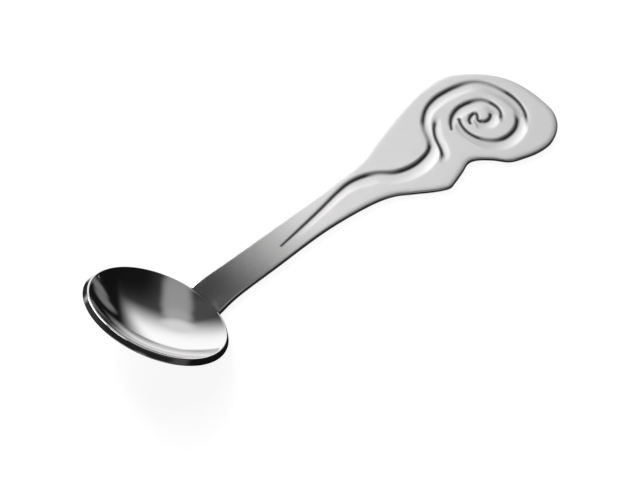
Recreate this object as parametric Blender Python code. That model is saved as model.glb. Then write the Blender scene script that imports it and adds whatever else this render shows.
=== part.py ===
"""Sugar ladle: a polished round bowl, a satin plate handle with a scroll head, and their braze seam.

The ladle lies on its handle's flat back. +X runs from the bowl to the scroll head and +Z is up.
The shapes are worked out with the handle's root at x = 0, and an empty then carries all of them
to the middle of their box.
"""

import math

import bmesh
import bpy
from mathutils import Vector

MM = 0.001
WELD = 0.001 * MM
SMOOTH_ANGLE = math.radians(35)

# Finishes: name, colour and roughness of each bare metal.
POLISHED = ("polished steel", (0.66, 0.65, 0.63), 0.06)
SATIN = ("satin steel", (0.62, 0.61, 0.60), 0.40)
BRAZE = ("braze metal", (0.60, 0.58, 0.54), 0.30)

# Bowl: a spherical cap of even thickness, cut square to its wall at the lip.
BOWL_MOUTH = 38.2 * MM
BOWL_DEPTH = 5.65 * MM
BOWL_WALL = 1.9 * MM
LIP_ROUND = 0.45 * MM
LIP_ROUND_STEPS = 3
BOWL_SEGMENTS = 56
BOWL_RINGS = 8

# Handle: a flat plate, narrow at the stem and wide at the scroll head.
HANDLE_LENGTH = 114.1 * MM
HANDLE_THICKNESS = 2.0 * MM
ROOT_WIDTH = 11.0 * MM
ROOT_FLARE = 7.0 * MM
SHOULDER = 0.35 * MM
STEM_WIDTH = 9.9 * MM
STEM_OFFSET = 0.35 * MM
HEAD_WIDTH = 38.1 * MM
EDGE_ROUND = 0.5 * MM
EDGE_ROUND_STEPS = 3
EDGE_ANGLE = math.radians(60)
OUTLINE_STEP = 1.6 * MM

# Braze seam: a curved strip between the bowl's lip and the handle's root.
SEAM_WIDTH = 0.8 * MM
SEAM_THICKNESS = 1.4 * MM
SEAM_STEPS = 10
JOINT_GAP = 0.3 * MM

# Engraved scroll: gouge marks with a round bottom, which fade out at both ends.
SCROLL_OFFSET = -5.6 * MM
SCROLL_SIZE = 8.0 * MM
GROOVE_DEPTH = 0.6 * MM
GROOVE_TOOL_RADIUS = 1.6 * MM
CORE_DEPTH = 0.35 * MM
CORE_TOOL_RADIUS = 0.6 * MM
GROOVE_FADE = 12.0 * MM
CORE_FADE = 2.5 * MM
GROOVE_STEP = 1.5 * MM
CORE_STEP = 0.45 * MM
TOOL_HALF_ANGLE = math.radians(55)
TOOL_STEPS = 6
TOOL_LIFT = 0.1 * MM

# The head reaches this far before and behind the scroll's centre, as shares of its width.
TIP_SHARE = 0.467
HEAD_START_SHARE = 1.215

# Sizes that follow from those above.
MOUTH_RADIUS = BOWL_MOUTH / 2
INSIDE_RADIUS = (MOUTH_RADIUS ** 2 + BOWL_DEPTH ** 2) / (2 * BOWL_DEPTH)
OUTSIDE_RADIUS = INSIDE_RADIUS + BOWL_WALL
LIP_ANGLE = math.asin(MOUTH_RADIUS / INSIDE_RADIUS)
LIP_PLAN_RADIUS = OUTSIDE_RADIUS * math.tan(LIP_ANGLE)
SEAM_START = JOINT_GAP
SEAM_END = SEAM_START + SEAM_WIDTH
FOOT_START = SEAM_END + JOINT_GAP
STEM_LEFT = STEM_OFFSET + STEM_WIDTH / 2
STEM_RIGHT = STEM_OFFSET - STEM_WIDTH / 2
SCROLL_X = HANDLE_LENGTH - TIP_SHARE * HEAD_WIDTH
STEM_END = SCROLL_X - HEAD_START_SHARE * HEAD_WIDTH


def clear_scene():
    """Remove whatever the file holds."""
    for item in list(bpy.data.objects):
        bpy.data.objects.remove(item, do_unlink=True)


def metal(name, colour, roughness):
    """A bare metal: its colour, and how far its finish scatters a reflection."""
    material = bpy.data.materials.new(name)
    material.use_nodes = True
    shader = material.node_tree.nodes["Principled BSDF"]
    shader.inputs["Base Color"].default_value = (*colour, 1.0)
    shader.inputs["Metallic"].default_value = 1.0
    shader.inputs["Roughness"].default_value = roughness
    return material


def add_piece(name, shape, parent, material=None):
    """Turn a bmesh into a named object under the ladle's empty."""
    bmesh.ops.recalc_face_normals(shape, faces=shape.faces[:])
    mesh = bpy.data.meshes.new(name)
    shape.to_mesh(mesh)
    shape.free()
    mesh.shade_smooth()
    mesh.set_sharp_from_angle(angle=SMOOTH_ANGLE)
    if material:
        mesh.materials.append(material)
    piece = bpy.data.objects.new(name, mesh)
    piece.parent = parent
    bpy.context.scene.collection.objects.link(piece)
    return piece


def smooth_path(points, step):
    """Points about one step apart on a smooth curve through all the given points."""
    knots = [Vector(point) for point in points]
    knots = [2 * knots[0] - knots[1], *knots, 2 * knots[-1] - knots[-2]]
    path = []
    for before, start, end, after in zip(knots, knots[1:], knots[2:], knots[3:]):
        ways = ((before, start), (start, end), (end, after))
        span_in, span, span_out = (math.sqrt((b - a).length) for a, b in ways)
        leave = tangent(before, start, end, span_in, span) * span
        reach = tangent(start, end, after, span, span_out) * span
        count = max(1, round((end - start).length / step))
        for index in range(count):
            t = index / count
            path.append(
                start * (2 * t ** 3 - 3 * t ** 2 + 1)
                + leave * (t ** 3 - 2 * t ** 2 + t)
                + end * (3 * t ** 2 - 2 * t ** 3)
                + reach * (t ** 3 - t ** 2)
            )
    return [*path, knots[-2]]


def tangent(before, here, after, span_in, span_out):
    """Slope of the smooth curve at a point, for the spacing of its neighbours."""
    slope_in = (here - before) / span_in
    slope_out = (after - here) / span_out
    return (slope_in * span_out + slope_out * span_in) / (span_in + span_out)


def at_head(along, across):
    """A point of the head, from the scroll's centre, in shares of the head's width."""
    return SCROLL_X + along * HEAD_WIDTH, SCROLL_OFFSET + across * HEAD_WIDTH


def at_stem(along, across):
    """A point of the stem, in shares of its length and of its width, from the middle of its root."""
    return along * STEM_END, STEM_OFFSET + across * STEM_WIDTH


def in_scroll(angle_deg, radius):
    """A point of the scroll, by angle and by radius in shares of the scroll's size."""
    angle = math.radians(angle_deg)
    reach = radius * SCROLL_SIZE
    return SCROLL_X + reach * math.cos(angle), SCROLL_OFFSET + reach * math.sin(angle)


def joint_x(y, out):
    """Where a line that runs round the bowl's lip, this far outside it, crosses y."""
    return math.sqrt((LIP_PLAN_RADIUS + out) ** 2 - y ** 2) - LIP_PLAN_RADIUS


def joint_line(out, steps):
    """Points of that line across the handle's root, from the right side to the left."""
    rows = [ROOT_WIDTH * (index / steps - 0.5) for index in range(steps + 1)]
    return [(joint_x(y, out), y) for y in rows]


def handle_outline():
    """The handle's edge, from the left corner of its foot round the head to the right corner."""
    foot_right, foot_left = joint_line(FOOT_START, 1)
    left_edge = [
        foot_left,
        (foot_left[0] + ROOT_FLARE, STEM_LEFT + SHOULDER),
        at_stem(0.5, 0.5),
        at_stem(1.0, 0.5),
    ]
    head = [
        at_head(-0.900, 0.302),
        at_head(-0.690, 0.360),
        at_head(-0.428, 0.428),
        at_head(-0.113, 0.475),
        at_head(0.102, 0.446),
        at_head(0.236, 0.362),
        at_head(0.341, 0.255),
        at_head(0.420, 0.131),
        at_head(0.462, -0.034),
        at_head(0.465, -0.197),
        at_head(0.444, -0.341),
        at_head(0.365, -0.454),
        at_head(0.234, -0.520),
        at_head(0.108, -0.520),
        at_head(-0.018, -0.483),
        at_head(-0.115, -0.436),
        at_head(-0.194, -0.339),
        at_head(-0.278, -0.262),
        at_head(-0.339, -0.241),
        at_head(-0.433, -0.270),
        at_head(-0.535, -0.299),
        at_head(-0.596, -0.310),
        at_head(-0.677, -0.273),
        at_head(-0.827, -0.168),
        at_head(-0.937, -0.092),
        at_head(-1.076, -0.041),
    ]
    right_edge = [
        at_stem(0.8, -0.53),
        at_stem(0.4, -0.5),
        (foot_right[0] + ROOT_FLARE, STEM_RIGHT),
        foot_right,
    ]
    return smooth_path([*left_edge, *head, *right_edge], OUTLINE_STEP)


def plate(outline, low, high):
    """A flat plate of this outline between two heights."""
    shape = bmesh.new()
    corners = [shape.verts.new((x, y, low)) for x, y in outline]
    base = shape.faces.new(corners)
    grown = bmesh.ops.extrude_face_region(shape, geom=[base])["geom"]
    moved = [item for item in grown if isinstance(item, bmesh.types.BMVert)]
    bmesh.ops.translate(shape, verts=moved, vec=(0, 0, high - low))
    return shape


def groove_strokes():
    """Each stroke of the engraving: its path, tool radius, depth, fade and step."""
    wave_line = [
        at_stem(0.52, -0.07),
        at_stem(0.72, 0.04),
        at_stem(0.90, 0.17),
        at_head(-1.110, 0.215),
        at_head(-1.005, 0.199),
        at_head(-0.900, 0.139),
        at_head(-0.795, 0.066),
        at_head(-0.690, 0.020),
        at_head(-0.585, 0.014),
        at_head(-0.480, 0.041),
        at_head(-0.425, 0.092),
        at_head(-0.375, 0.197),
    ]
    outer_whorl = [
        in_scroll(136, 1.99),
        in_scroll(116, 1.84),
        in_scroll(95, 1.68),
        in_scroll(72, 1.63),
        in_scroll(54, 1.64),
        in_scroll(33, 1.62),
        in_scroll(12, 1.55),
        in_scroll(-9, 1.58),
        in_scroll(-30, 1.63),
        in_scroll(-47, 1.66),
        in_scroll(-64, 1.75),
    ]
    inner_stroke = [
        at_head(-0.493, -0.097),
        at_head(-0.420, -0.024),
        at_head(-0.367, 0.087),
        at_head(-0.323, 0.147),
        at_head(-0.231, 0.215),
    ]
    upper_whorl = [
        in_scroll(167, 1.08),
        in_scroll(147, 1.04),
        in_scroll(129, 0.95),
        in_scroll(105, 0.85),
        in_scroll(79, 0.80),
        in_scroll(50, 0.82),
        in_scroll(25, 0.81),
        in_scroll(-2, 0.82),
        in_scroll(-25, 0.81),
        in_scroll(-54, 0.80),
    ]
    lower_whorl = [
        in_scroll(143, 0.67),
        in_scroll(164, 0.72),
        in_scroll(191, 0.76),
        in_scroll(216, 0.87),
        in_scroll(241, 1.04),
        in_scroll(259, 1.20),
        in_scroll(277, 1.28),
        in_scroll(296, 1.32),
        in_scroll(313, 1.33),
        in_scroll(328, 1.29),
    ]
    core_curl = [
        in_scroll(178, 0.41),
        in_scroll(155, 0.36),
        in_scroll(115, 0.29),
        in_scroll(79, 0.27),
        in_scroll(57, 0.21),
        in_scroll(90, 0.06),
        in_scroll(214, 0.13),
        in_scroll(254, 0.23),
        in_scroll(293, 0.31),
        in_scroll(324, 0.40),
        in_scroll(350, 0.47),
    ]
    gouged = [[*wave_line, *outer_whorl], inner_stroke, upper_whorl, lower_whorl]
    strokes = [(path, GROOVE_TOOL_RADIUS, GROOVE_DEPTH, GROOVE_FADE, GROOVE_STEP) for path in gouged]
    return [*strokes, (core_curl, CORE_TOOL_RADIUS, CORE_DEPTH, CORE_FADE, CORE_STEP)]


def add_gouge_mark(shape, path, tool_radius, depth, fade, step):
    """Sweep a round-nosed tool along a path. It sinks in from one end and lifts out at the other."""
    points = smooth_path(path, step)
    travelled = [0.0]
    for here, after in zip(points, points[1:]):
        travelled.append(travelled[-1] + (after - here).length)
    fade = min(fade, travelled[-1] / 2)
    rings = []
    for index, point in enumerate(points):
        along = (points[min(index + 1, len(points) - 1)] - points[max(index - 1, 0)]).normalized()
        side = Vector((-along.y, along.x, 0.0))
        near_end = min(travelled[index], travelled[-1] - travelled[index])
        sunk = math.sin(min(near_end / fade, 1.0) * math.pi / 2)
        nose = HANDLE_THICKNESS + TOOL_LIFT - (depth + TOOL_LIFT) * sunk
        middle = Vector((point.x, point.y, nose + tool_radius))
        ring = []
        for turn in range(TOOL_STEPS + 1):
            angle = TOOL_HALF_ANGLE * (2 * turn / TOOL_STEPS - 1)
            drop = Vector((0, 0, tool_radius * math.cos(angle)))
            ring.append(shape.verts.new(middle + side * (tool_radius * math.sin(angle)) - drop))
        rings.append(ring)
    for first, second in zip(rings, rings[1:]):
        for corner in range(len(first)):
            beside = (corner + 1) % len(first)
            shape.faces.new((first[corner], first[beside], second[beside], second[corner]))
    shape.faces.new(rings[0])
    shape.faces.new(rings[-1])


def make_handle(parent):
    """The plate, its rounded edges and its engraving."""
    foot = joint_line(FOOT_START, SEAM_STEPS)
    shape = plate([*foot[:-1], *handle_outline()[:-1]], 0.0, HANDLE_THICKNESS)
    handle = add_piece("handle", shape, parent, metal(*SATIN))
    rounding = handle.modifiers.new("rounded edges", "BEVEL")
    rounding.width = EDGE_ROUND
    rounding.segments = EDGE_ROUND_STEPS
    rounding.limit_method = "ANGLE"
    rounding.angle_limit = EDGE_ANGLE
    marks = bmesh.new()
    for stroke in groove_strokes():
        add_gouge_mark(marks, *stroke)
    cutter = add_piece("scroll_cutter", marks, parent)
    cutter.hide_render = True
    cutter.display_type = "WIRE"
    engraving = handle.modifiers.new("engraved scroll", "BOOLEAN")
    engraving.operation = "DIFFERENCE"
    engraving.solver = "EXACT"
    engraving.use_self = True
    engraving.object = cutter
    return handle


def bowl_profile():
    """Half the bowl's section as (radius, height) about its sphere's centre, from inside to outside."""
    inner_corner = LIP_ROUND / (INSIDE_RADIUS + LIP_ROUND)
    outer_corner = LIP_ROUND / (OUTSIDE_RADIUS - LIP_ROUND)
    wall = [index / BOWL_RINGS for index in range(BOWL_RINGS + 1)]
    turns = [math.pi / 2 * index / LIP_ROUND_STEPS for index in range(LIP_ROUND_STEPS + 1)]
    section = [(INSIDE_RADIUS, (LIP_ANGLE - inner_corner) * share) for share in wall]
    for turn in turns[1:]:
        radius = INSIDE_RADIUS + LIP_ROUND * (1 - math.cos(turn))
        section.append((radius, LIP_ANGLE - inner_corner * (1 - math.sin(turn))))
    for turn in turns[:-1]:
        radius = OUTSIDE_RADIUS - LIP_ROUND * (1 - math.sin(turn))
        section.append((radius, LIP_ANGLE - outer_corner * (1 - math.cos(turn))))
    section.extend((OUTSIDE_RADIUS, (LIP_ANGLE - outer_corner) * share) for share in reversed(wall))
    return [(radius * math.sin(angle), -radius * math.cos(angle)) for radius, angle in section]


def make_bowl(parent):
    """A turned spherical cap, tipped until its wall is level where it runs on into the handle."""
    shape = bmesh.new()
    points = [shape.verts.new((radius, 0.0, height)) for radius, height in bowl_profile()]
    edges = [shape.edges.new(pair) for pair in zip(points, points[1:])]
    bmesh.ops.spin(
        shape,
        geom=[*points, *edges],
        axis=(0, 0, 1),
        cent=(0, 0, 0),
        angle=math.tau,
        steps=BOWL_SEGMENTS,
    )
    bmesh.ops.remove_doubles(shape, verts=shape.verts[:], dist=WELD)
    bowl = add_piece("bowl", shape, parent, metal(*POLISHED))
    bowl.rotation_euler.y = LIP_ANGLE
    bowl.location.z = HANDLE_THICKNESS + INSIDE_RADIUS
    return bowl


def make_seam(parent):
    """The strip of filler metal that holds the bowl's lip to the handle's foot."""
    outline = [*joint_line(SEAM_START, SEAM_STEPS), *reversed(joint_line(SEAM_END, SEAM_STEPS))]
    low = (HANDLE_THICKNESS - SEAM_THICKNESS) / 2
    shape = plate(outline, low, low + SEAM_THICKNESS)
    return add_piece("braze_seam", shape, parent, metal(*BRAZE))


def stand_on_origin(root, pieces):
    """Move the empty so that the origin is under the middle of the ladle, where it lies on the table."""
    bpy.context.view_layer.update()
    graph = bpy.context.evaluated_depsgraph_get()
    corners = []
    for piece in pieces:
        solid = piece.evaluated_get(graph)
        corners.extend(solid.matrix_world @ vertex.co for vertex in solid.data.vertices)
    lows = [min(corner[axis] for corner in corners) for axis in range(3)]
    highs = [max(corner[axis] for corner in corners) for axis in range(3)]
    root.location = (-(lows[0] + highs[0]) / 2, -(lows[1] + highs[1]) / 2, -lows[2])


def main():
    """Build the ladle."""
    clear_scene()
    root = bpy.data.objects.new("ladle", None)
    bpy.context.scene.collection.objects.link(root)
    pieces = [make_bowl(root), make_handle(root), make_seam(root)]
    stand_on_origin(root, pieces)


main()
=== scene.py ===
"""Looks of a sugar ladle: a polished round bowl, a satin scroll handle and the braze seam between them.

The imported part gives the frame, in metres. Sizes in this file are in millimetres, drawn from the root:
the middle of the bowl's lip where it meets the handle, at the height of the handle's top face. From there
x runs along the handle, y across it and z up.
"""

import logging
import math
from dataclasses import dataclass
from enum import Enum

import bmesh
import bpy
import numpy as np
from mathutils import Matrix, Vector
from mathutils.geometry import delaunay_2d_cdt
from mathutils.kdtree import KDTree


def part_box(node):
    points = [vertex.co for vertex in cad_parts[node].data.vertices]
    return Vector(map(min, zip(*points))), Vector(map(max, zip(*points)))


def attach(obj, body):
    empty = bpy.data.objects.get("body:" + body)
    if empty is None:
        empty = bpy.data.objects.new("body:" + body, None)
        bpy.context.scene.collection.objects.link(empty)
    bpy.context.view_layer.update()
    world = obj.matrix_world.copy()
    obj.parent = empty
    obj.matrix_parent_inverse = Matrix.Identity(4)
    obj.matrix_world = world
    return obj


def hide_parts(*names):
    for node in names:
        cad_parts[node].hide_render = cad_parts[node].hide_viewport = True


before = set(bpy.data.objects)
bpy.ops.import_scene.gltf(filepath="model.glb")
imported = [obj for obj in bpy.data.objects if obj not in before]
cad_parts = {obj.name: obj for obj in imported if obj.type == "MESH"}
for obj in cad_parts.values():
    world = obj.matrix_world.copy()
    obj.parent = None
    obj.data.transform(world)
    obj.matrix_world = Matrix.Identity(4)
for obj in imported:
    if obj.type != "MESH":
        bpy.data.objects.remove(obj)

MM = 0.001
IMAGE_WIDTH = 640
BODY = "root"
WHITE = "#FFFFFF"

log = logging.getLogger("sugar_ladle")


class Slot(Enum):
    """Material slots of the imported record."""

    BOWL = "polished_steel"
    HANDLE = "satin_steel"
    SEAM = "braze_metal"


def linear(hex_colour: str) -> tuple[float, float, float, float]:
    """Turn an sRGB hex colour into linear RGBA.

    Args:
        hex_colour: six hex digits after a hash.

    Returns:
        Linear red, green and blue, and an alpha of 1.
    """
    shares = [int(hex_colour[place:place + 2], 16) / 255 for place in (1, 3, 5)]
    low = [share / 12.92 for share in shares]
    high = [((share + 0.055) / 1.055) ** 2.4 for share in shares]
    mixed = [a if share <= 0.04045 else b for share, a, b in zip(shares, low, high)]
    return mixed[0], mixed[1], mixed[2], 1.0


def add_node(
    tree: bpy.types.NodeTree, kind: str, inputs: dict | None = None, **settings: object
) -> bpy.types.Node:
    """Add a node, set it and link what feeds it.

    Args:
        tree: tree that takes the node.
        kind: Blender's name for the kind of node.
        inputs: a value, or an output socket to link, for each input's name or number.
        settings: the node's own properties.

    Returns:
        The new node.
    """
    node = tree.nodes.new(kind)
    for name, value in settings.items():
        setattr(node, name, value)
    for key, value in (inputs or {}).items():
        if isinstance(value, bpy.types.NodeSocket):
            tree.links.new(value, node.inputs[key])
        else:
            node.inputs[key].default_value = value
    return node


def new_tree(name: str, inputs: dict[str, str], outputs: dict[str, str]) -> bpy.types.NodeTree:
    """Start a Geometry Nodes tree with named sockets.

    Args:
        name: the tree's name.
        inputs: socket type for each input's name.
        outputs: socket type for each output's name.

    Returns:
        The tree, which holds no nodes yet.
    """
    tree = bpy.data.node_groups.new(name, "GeometryNodeTree")
    for side, sockets in (("INPUT", inputs), ("OUTPUT", outputs)):
        for label, kind in sockets.items():
            tree.interface.new_socket(label, in_out=side, socket_type=kind)
    return tree


def close_tree(
    tree: bpy.types.NodeTree, shape: bpy.types.NodeSocket, material: bpy.types.Material
) -> None:
    """End a Geometry Nodes tree: make its instances real and give them their finish.

    Args:
        tree: the tree to end.
        shape: the geometry that it has made.
        material: the finish.
    """
    real = add_node(tree, "GeometryNodeRealizeInstances", {0: shape})
    dressed = add_node(
        tree, "GeometryNodeSetMaterial", {"Geometry": real.outputs[0], "Material": material}
    )
    add_node(tree, "NodeGroupOutput", {0: dressed.outputs[0]})


def grow(host: bpy.types.Object, tree: bpy.types.NodeTree, values: dict) -> bpy.types.Mesh:
    """Run a Geometry Nodes tree on an object and keep the result as a plain mesh.

    Args:
        host: object that carries the modifier for the time of the run.
        tree: the tree to run.
        values: a value for each named input, apart from the geometry itself.

    Returns:
        The mesh that the tree makes.
    """
    modifier = host.modifiers.new(tree.name, "NODES")
    modifier.node_group = tree
    for item in tree.interface.items_tree:
        if item.in_out == "INPUT" and item.name in values:
            modifier[item.identifier] = values[item.name]
    graph = bpy.context.evaluated_depsgraph_get()
    mesh = bpy.data.meshes.new_from_object(host.evaluated_get(graph), depsgraph=graph)
    host.modifiers.remove(modifier)
    return mesh


def add_object(name: str, data: bpy.types.ID) -> bpy.types.Object:
    """Put data into the scene as an object at the origin.

    Args:
        name: the object's name.
        data: its mesh, curve, camera or lamp.

    Returns:
        The object.
    """
    item = bpy.data.objects.new(name, data)
    bpy.context.scene.collection.objects.link(item)
    return item


def face_outwards(mesh: bpy.types.Mesh) -> None:
    """Turn a closed mesh's faces outwards and shade it smooth.

    Args:
        mesh: the mesh to change.
    """
    shape = bmesh.new()
    shape.from_mesh(mesh)
    bmesh.ops.recalc_face_normals(shape, faces=shape.faces[:])
    shape.to_mesh(mesh)
    shape.free()
    mesh.shade_smooth()


def settle(piece: bpy.types.Object, node: str) -> None:
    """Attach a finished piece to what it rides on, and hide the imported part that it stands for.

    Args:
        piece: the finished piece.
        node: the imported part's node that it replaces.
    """
    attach(piece, BODY)
    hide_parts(node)
    log.info("%s: %d faces, for %s", piece.name, len(piece.data.polygons), node)


def find_root() -> Vector:
    """Find the drawing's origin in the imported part, in metres."""
    bowl_low, bowl_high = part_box("bowl")
    return Vector((bowl_high.x, (bowl_low.y + bowl_high.y) / 2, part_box("handle")[1].z))


def smooth_path(points: list[tuple], step: float) -> np.ndarray:
    """Draw a smooth curve through points.

    Args:
        points: the points. Columns after x and y, such as a width, are drawn along.
        step: spacing of the points of the curve.

    Returns:
        Points about one step apart, one row each.
    """
    knots = np.array(points, float)
    knots = np.vstack([2 * knots[0] - knots[1], knots, 2 * knots[-1] - knots[-2]])
    spans = np.sqrt(np.linalg.norm(np.diff(knots[:, :2], axis=0), axis=1))[:, None]
    slopes = np.diff(knots, axis=0) / spans
    turns = (slopes[:-1] * spans[1:] + slopes[1:] * spans[:-1]) / (spans[:-1] + spans[1:])
    path = []
    for index, (start, end) in enumerate(zip(knots[1:-2], knots[2:-1])):
        span = spans[index + 1]
        count = max(1, round(float(span[0]) ** 2 / step))
        t = np.arange(count)[:, None] / count
        leave, reach = turns[index] * span, turns[index + 1] * span
        path.append(
            start * (2 * t ** 3 - 3 * t ** 2 + 1)
            + leave * (t ** 3 - 2 * t ** 2 + t)
            + end * (3 * t ** 2 - 2 * t ** 3)
            + reach * (t ** 3 - t ** 2)
        )
    return np.vstack([*path, knots[-2]])


def distance_to(points: np.ndarray, path: np.ndarray) -> np.ndarray:
    """Measure how far points lie from a polyline.

    Args:
        points: x and y of each point.
        path: x and y of the polyline's corners.

    Returns:
        The shortest distance of each point.
    """
    block = 4000
    start, run = path[:-1], np.diff(path, axis=0)
    length = (run ** 2).sum(axis=1)
    found = []
    for first in range(0, len(points), block):
        offset = points[first:first + block, None] - start
        share = np.clip((offset * run).sum(axis=-1) / length, 0, 1)
        gap = offset - share[..., None] * run
        found.append(np.sqrt((gap ** 2).sum(axis=-1).min(axis=1)))
    return np.concatenate(found)


def point_tree(points: np.ndarray) -> KDTree:
    """Sort points of the plane for a search of the nearest.

    Args:
        points: x and y of each point.

    Returns:
        The sorted points.
    """
    tree = KDTree(len(points))
    for index, (x, y) in enumerate(points):
        tree.insert((x, y, 0.0), index)
    tree.balance()
    return tree


def inside(points: np.ndarray, loop: np.ndarray) -> np.ndarray:
    """Tell which points lie inside a closed loop.

    Args:
        points: x and y of each point.
        loop: x and y of the loop's corners.

    Returns:
        True for each point inside.
    """
    found = np.zeros(len(points), bool)
    for (x0, y0), (x1, y1) in zip(loop, np.roll(loop, -1, axis=0)):
        crosses = (y0 > points[:, 1]) != (y1 > points[:, 1])
        at = x0 + (points[:, 1] - y0) * (x1 - x0) / (y1 - y0 if y1 != y0 else 1.0)
        found ^= crosses & (points[:, 0] < at)
    return found


def ease(share: np.ndarray) -> np.ndarray:
    """Ease a share from 0 to 1, level at both ends."""
    held = np.clip(share, 0, 1)
    return held * held * (3 - 2 * held)


def direction(azimuth: float, elevation: float) -> Vector:
    """Point a unit vector by its degrees from +X towards +Y and its degrees above the horizon."""
    a, e = math.radians(azimuth), math.radians(elevation)
    return Vector((math.cos(a) * math.cos(e), math.sin(a) * math.cos(e), math.sin(e)))


@dataclass(frozen=True)
class Metal:
    """Bare metal, uneven by a hair as finishing leaves it.

    Attributes:
        name: the material's name.
        colour: the metal's own colour.
        polish: roughness where it is polished.
        cloud: size of the faint clouds in its tone, in mm.
        cloud_tone: tone of the darkest cloud, as a share of the colour.
        smear: size of the smears that finishing leaves, in mm.
        smear_depth: how far roughness rises and falls with them, as a share of it.
    """

    name: str
    colour: str
    polish: float
    cloud: float = 9.0
    cloud_tone: float = 0.965
    smear: float = 3.0
    smear_depth: float = 0.1

    def start(self) -> tuple[bpy.types.Material, bpy.types.NodeSocket]:
        """Start the material.

        Returns:
            The material, for a piece that sits at the origin, and object coordinates in its tree.
        """
        material = bpy.data.materials.new(self.name)
        material.use_nodes = True
        material.node_tree.nodes.clear()
        place = add_node(material.node_tree, "ShaderNodeTexCoord")
        return material, place.outputs["Object"]

    def add_tone(self, tree: bpy.types.NodeTree, place: bpy.types.NodeSocket) -> bpy.types.NodeSocket:
        """Colour the metal in its own tone, with faint clouds.

        Args:
            tree: the material's tree.
            place: object coordinates.

        Returns:
            The colour.
        """
        own = linear(self.colour)
        darker = (*[self.cloud_tone * part for part in own[:3]], 1.0)
        cloud = add_node(
            tree, "ShaderNodeTexNoise", {"Vector": place, "Scale": 1 / (self.cloud * MM), "Detail": 3.0}
        )
        tone = add_node(
            tree, "ShaderNodeMix", {0: cloud.outputs["Fac"], 6: own, 7: darker}, data_type="RGBA"
        )
        return tone.outputs[2]

    def add_smears(
        self, tree: bpy.types.NodeTree, place: bpy.types.NodeSocket, rough: float | bpy.types.NodeSocket
    ) -> bpy.types.NodeSocket:
        """Make a roughness uneven, as smears of the finishing wheel do.

        Args:
            tree: the material's tree.
            place: object coordinates.
            rough: the even roughness.

        Returns:
            The uneven roughness.
        """
        smear = add_node(
            tree, "ShaderNodeTexNoise", {"Vector": place, "Scale": 1 / (self.smear * MM), "Detail": 4.0}
        )
        low, high = 1 - self.smear_depth, 1 + self.smear_depth
        uneven = add_node(
            tree, "ShaderNodeMapRange", {"Value": smear.outputs["Fac"], "To Min": low, "To Max": high}
        )
        feed = {0: rough, 1: uneven.outputs["Result"]}
        return add_node(tree, "ShaderNodeMath", feed, operation="MULTIPLY").outputs[0]


@dataclass(frozen=True)
class Polish(Metal):
    """Metal that is polished all over."""

    def material(self) -> bpy.types.Material:
        """Build the material: one finish all over.

        Returns:
            The material.
        """
        material, place = self.start()
        tree = material.node_tree
        feed = {
            "Metallic": 1.0,
            "Base Color": self.add_tone(tree, place),
            "Roughness": self.add_smears(tree, place, self.polish),
        }
        shader = add_node(tree, "ShaderNodeBsdfPrincipled", feed)
        add_node(tree, "ShaderNodeOutputMaterial", {"Surface": shader.outputs[0]})
        return material


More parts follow.
